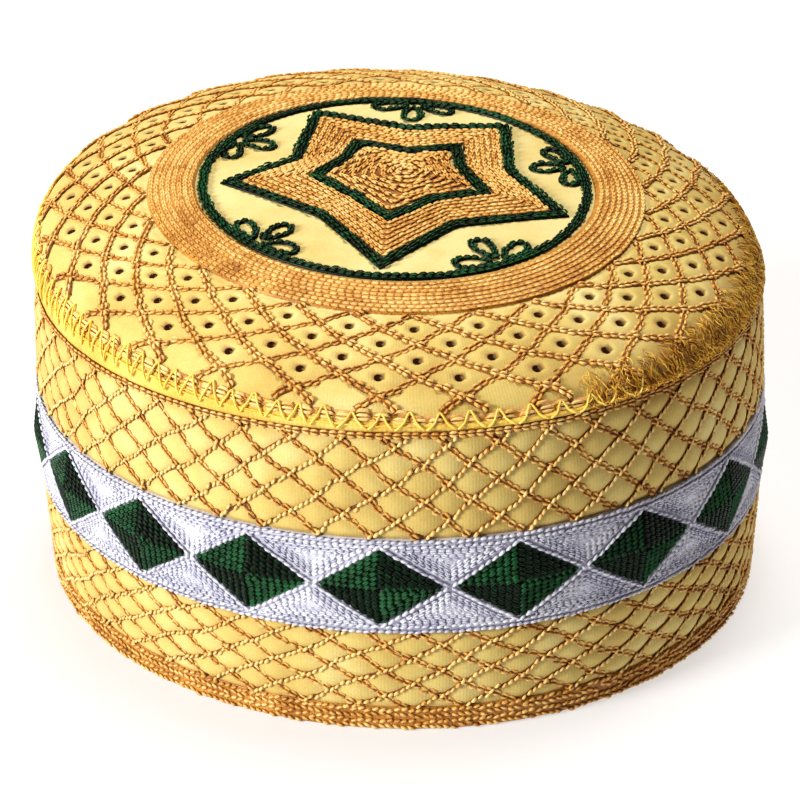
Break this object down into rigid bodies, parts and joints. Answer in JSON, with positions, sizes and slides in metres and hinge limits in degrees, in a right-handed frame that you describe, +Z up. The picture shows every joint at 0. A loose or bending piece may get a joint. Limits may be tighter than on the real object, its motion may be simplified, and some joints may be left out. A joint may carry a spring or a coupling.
{
  "type": "embroidered kufi cap",
  "caption": "Round brimless cap with a stiff upright wall and a gently domed, pierced crown, covered in raised embroidery; worn on the head, it stands on its open rim.",
  "frame": {"origin": "middle of the open rim, on the surface that the cap stands on", "axes": "+Z up through the crown; -Y is the front, the side that the picture shows"},
  "size_m": [0.1858, 0.1868, 0.1064],
  "materials": {
    "cloth_yellow": "matt fine-ribbed cotton",
    "binding_yellow": "matt rolled cotton, a little frayed",
    "thread_gold": "soft satin sheen of twisted thread",
    "thread_green": "soft satin sheen of twisted thread",
    "thread_white": "soft satin sheen of twisted thread"
  },
  "bodies": {
    "root": {"side_wall": "cloth_yellow", "crown_panel": "cloth_yellow", "edge_binding": "binding_yellow", "hem_rows": "thread_gold", "white_band": "thread_white", "gold_coil": "thread_gold", "green_ring": "thread_green", "star_outline_outer": "thread_green", "star_outline_inner": "thread_green", "star_frame_gold": "thread_gold", "star_centre_gold": "thread_gold", "green_diamond_01": "thread_green", "green_diamond_02": "thread_green", "green_diamond_03": "thread_green", "green_diamond_04": "thread_green", "green_diamond_05": "thread_green", "green_diamond_06": "thread_green", "green_diamond_07": "thread_green", "green_diamond_08": "thread_green", "green_diamond_09": "thread_green", "green_diamond_10": "thread_green", "green_diamond_11": "thread_green", "green_diamond_12": "thread_green", "green_diamond_13": "thread_green", "green_diamond_14": "thread_green", "green_diamond_15": "thread_green", "green_diamond_16": "thread_green", "green_diamond_17": "thread_green", "green_diamond_18": "thread_green", "trefoil_1": "thread_green", "trefoil_2": "thread_green", "trefoil_3": "thread_green", "trefoil_4": "thread_green", "trefoil_5": "thread_green"}
  },
  "joints": []
}
